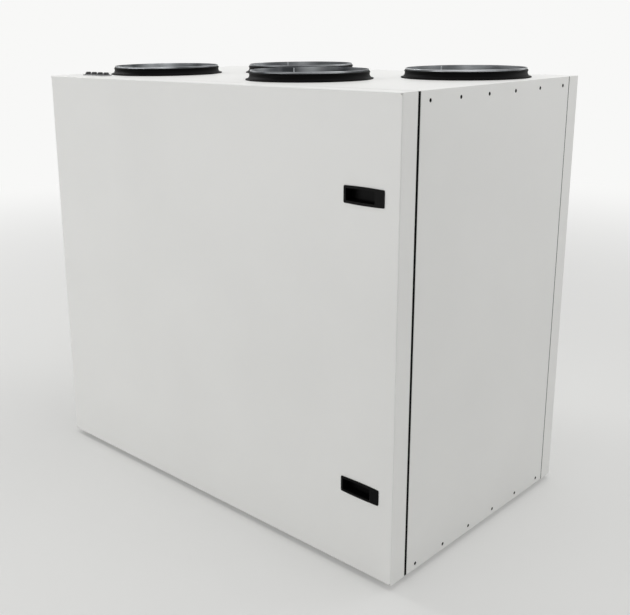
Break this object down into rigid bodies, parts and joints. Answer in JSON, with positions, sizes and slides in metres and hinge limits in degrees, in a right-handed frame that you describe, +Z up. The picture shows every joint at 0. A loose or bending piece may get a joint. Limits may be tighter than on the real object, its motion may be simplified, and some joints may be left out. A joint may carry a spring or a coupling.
{
  "type": "air handling unit",
  "caption": "Upright white box-shaped air handling unit with a full-width hinged service door with black pulls, and round duct spigots in a zigzag on its roof.",
  "frame": {"origin": "on the floor, under the middle of the cabinet", "axes": "+X to the right as the door is faced, -Y out of the door, +Z up"},
  "size_m": [1.0575, 0.6235, 0.957],
  "materials": {
    "white_powder_coat": "satin white powder coat",
    "black_rubber": "matt moulded rubber",
    "black_foam_rubber": "closed-cell foam strip",
    "galvanised_steel": "zinc-coated sheet",
    "grey_plastic": "light grey moulded plastic",
    "grey_foam": "moulded particle foam",
    "aluminium_plates": "bare aluminium plate pack",
    "black_webbing": "woven strap",
    "filter_fleece": "filter fleece in a board frame",
    "black_plastic": "fine-grained black plastic"
  },
  "bodies": {
    "cabinet": {"base_panel": "white_powder_coat", "left_panel": "white_powder_coat", "right_panel": "white_powder_coat", "back_panel": "white_powder_coat", "roof_panel": "white_powder_coat", "front_left_foot": "black_rubber", "front_right_foot": "black_rubber", "rear_left_foot": "black_rubber", "rear_right_foot": "black_rubber", "front_left_collar": "galvanised_steel", "rear_left_collar": "galvanised_steel", "front_right_collar": "galvanised_steel", "rear_right_collar": "galvanised_steel", "front_left_seal": "black_rubber", "rear_left_seal": "black_rubber", "front_right_seal": "black_rubber", "rear_right_seal": "black_rubber", "cable_plate": "grey_plastic", "cable_grommets": "black_rubber", "left_gasket": "black_foam_rubber", "right_gasket": "black_foam_rubber", "top_gasket": "black_foam_rubber", "bottom_gasket": "black_foam_rubber", "lower_core": "grey_foam", "upper_core": "grey_foam", "heat_exchanger": "aluminium_plates", "exchanger_end_plate": "galvanised_steel", "exchanger_strap": "black_webbing", "left_filter": "filter_fleece", "right_filter": "filter_fleece", "left_fan_cover": "galvanised_steel", "right_fan_cover": "galvanised_steel", "control_box": "galvanised_steel", "upper_hinge_leaf": "black_plastic", "lower_hinge_leaf": "black_plastic"},
    "door": {"door_panel": "white_powder_coat", "door_liner": "galvanised_steel", "upper_handle": "black_plastic", "lower_handle": "black_plastic", "upper_door_leaf": "black_plastic", "lower_door_leaf": "black_plastic"}
  },
  "joints": [
    {"name": "door_hinge", "type": "hinge", "parent": "cabinet", "child": "door", "pos_m": [-0.529, -0.263, 0.4745], "axis": [0, 0, -1], "range_deg": [0, 120]}
  ]
}
